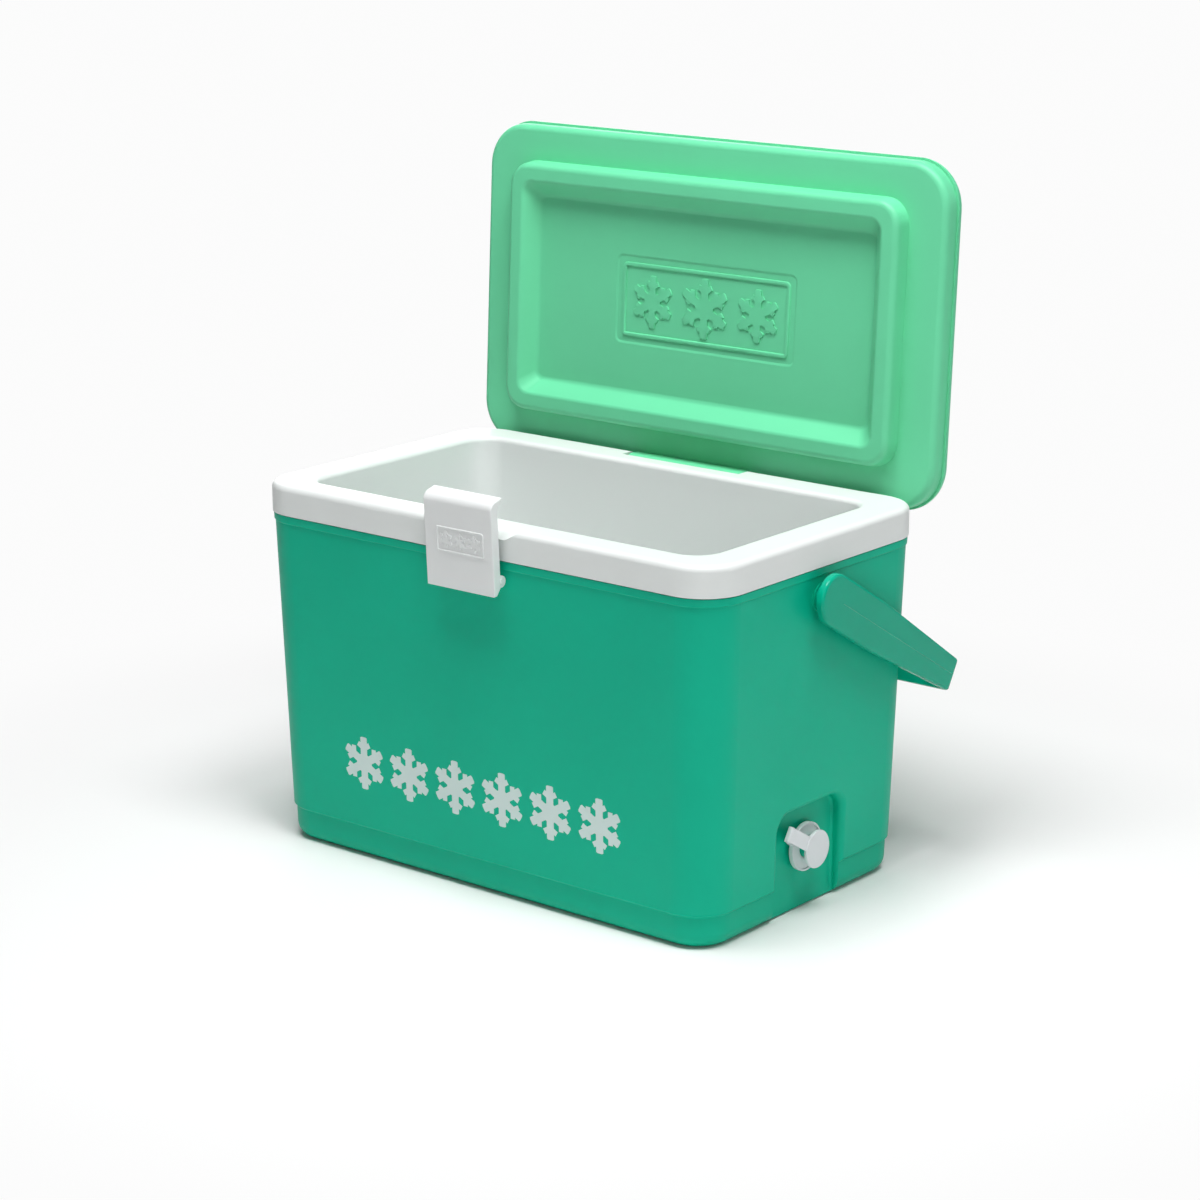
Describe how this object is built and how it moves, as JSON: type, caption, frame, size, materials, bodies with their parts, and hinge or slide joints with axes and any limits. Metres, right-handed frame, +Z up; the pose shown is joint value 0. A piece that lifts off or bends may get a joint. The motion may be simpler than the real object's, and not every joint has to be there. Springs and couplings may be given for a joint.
{
  "type": "insulated cooler box",
  "caption": "Rectangular insulated picnic cooler box with a hinged lid, U-shaped carrying handle, swinging front latch and tethered drain plug.",
  "frame": {"origin": "middle of the flat base, on the surface it stands on", "axes": "+X along the long side, towards the end wall with the drain; +Y towards the hinge at the back; +Z up. At rest the lid stands open."},
  "size_m": [0.465, 0.3197, 0.5346],
  "materials": {
    "shell_plastic": "fine moulded grain, satin",
    "liner_plastic": "smooth white polypropylene",
    "lid_plastic": "fine moulded grain, satin",
    "foam": "foamed-in-place polyurethane",
    "handle_plastic": "smooth polypropylene",
    "trim_plastic": "smooth white polypropylene",
    "cap_plastic": "soft white elastomer",
    "pin_steel": "drawn steel rod",
    "gasket_rubber": "matt"
  },
  "bodies": {
    "body": {"outer_shell": "shell_plastic", "inner_liner": "liner_plastic", "body_foam": "foam", "hinge_pin": "pin_steel", "latch_pin": "trim_plastic", "handle_bush_left": "handle_plastic", "handle_bush_right": "handle_plastic", "drain_spout": "shell_plastic", "drain_gasket": "gasket_rubber", "drain_nut": "shell_plastic", "drain_ring": "cap_plastic"},
    "lid": {"lid_panel": "lid_plastic", "lid_cover": "lid_plastic", "lid_foam": "foam"},
    "latch": {"latch": "trim_plastic"},
    "handle": {"handle": "handle_plastic"},
    "drain_cap": {"drain_cap": "cap_plastic"}
  },
  "joints": [
    {"name": "lid_hinge", "type": "hinge", "parent": "body", "child": "lid", "pos_m": [0, 0.1266, 0.2773], "axis": [1, 0, 0], "range_deg": [0, 93]},
    {"name": "latch_pivot", "type": "hinge", "parent": "body", "child": "latch", "pos_m": [0, -0.135, 0.2485], "axis": [1, 0, 0], "range_deg": [-3, 45]},
    {"name": "handle_swing", "type": "hinge", "parent": "body", "child": "handle", "pos_m": [0, 0, 0.24], "axis": [1, 0, 0], "range_deg": [-7, 47]},
    {"name": "drain_cap_pull", "type": "slide", "parent": "body", "child": "drain_cap", "axis": [1, 0, 0], "range_m": [0, 0.016]}
  ]
}
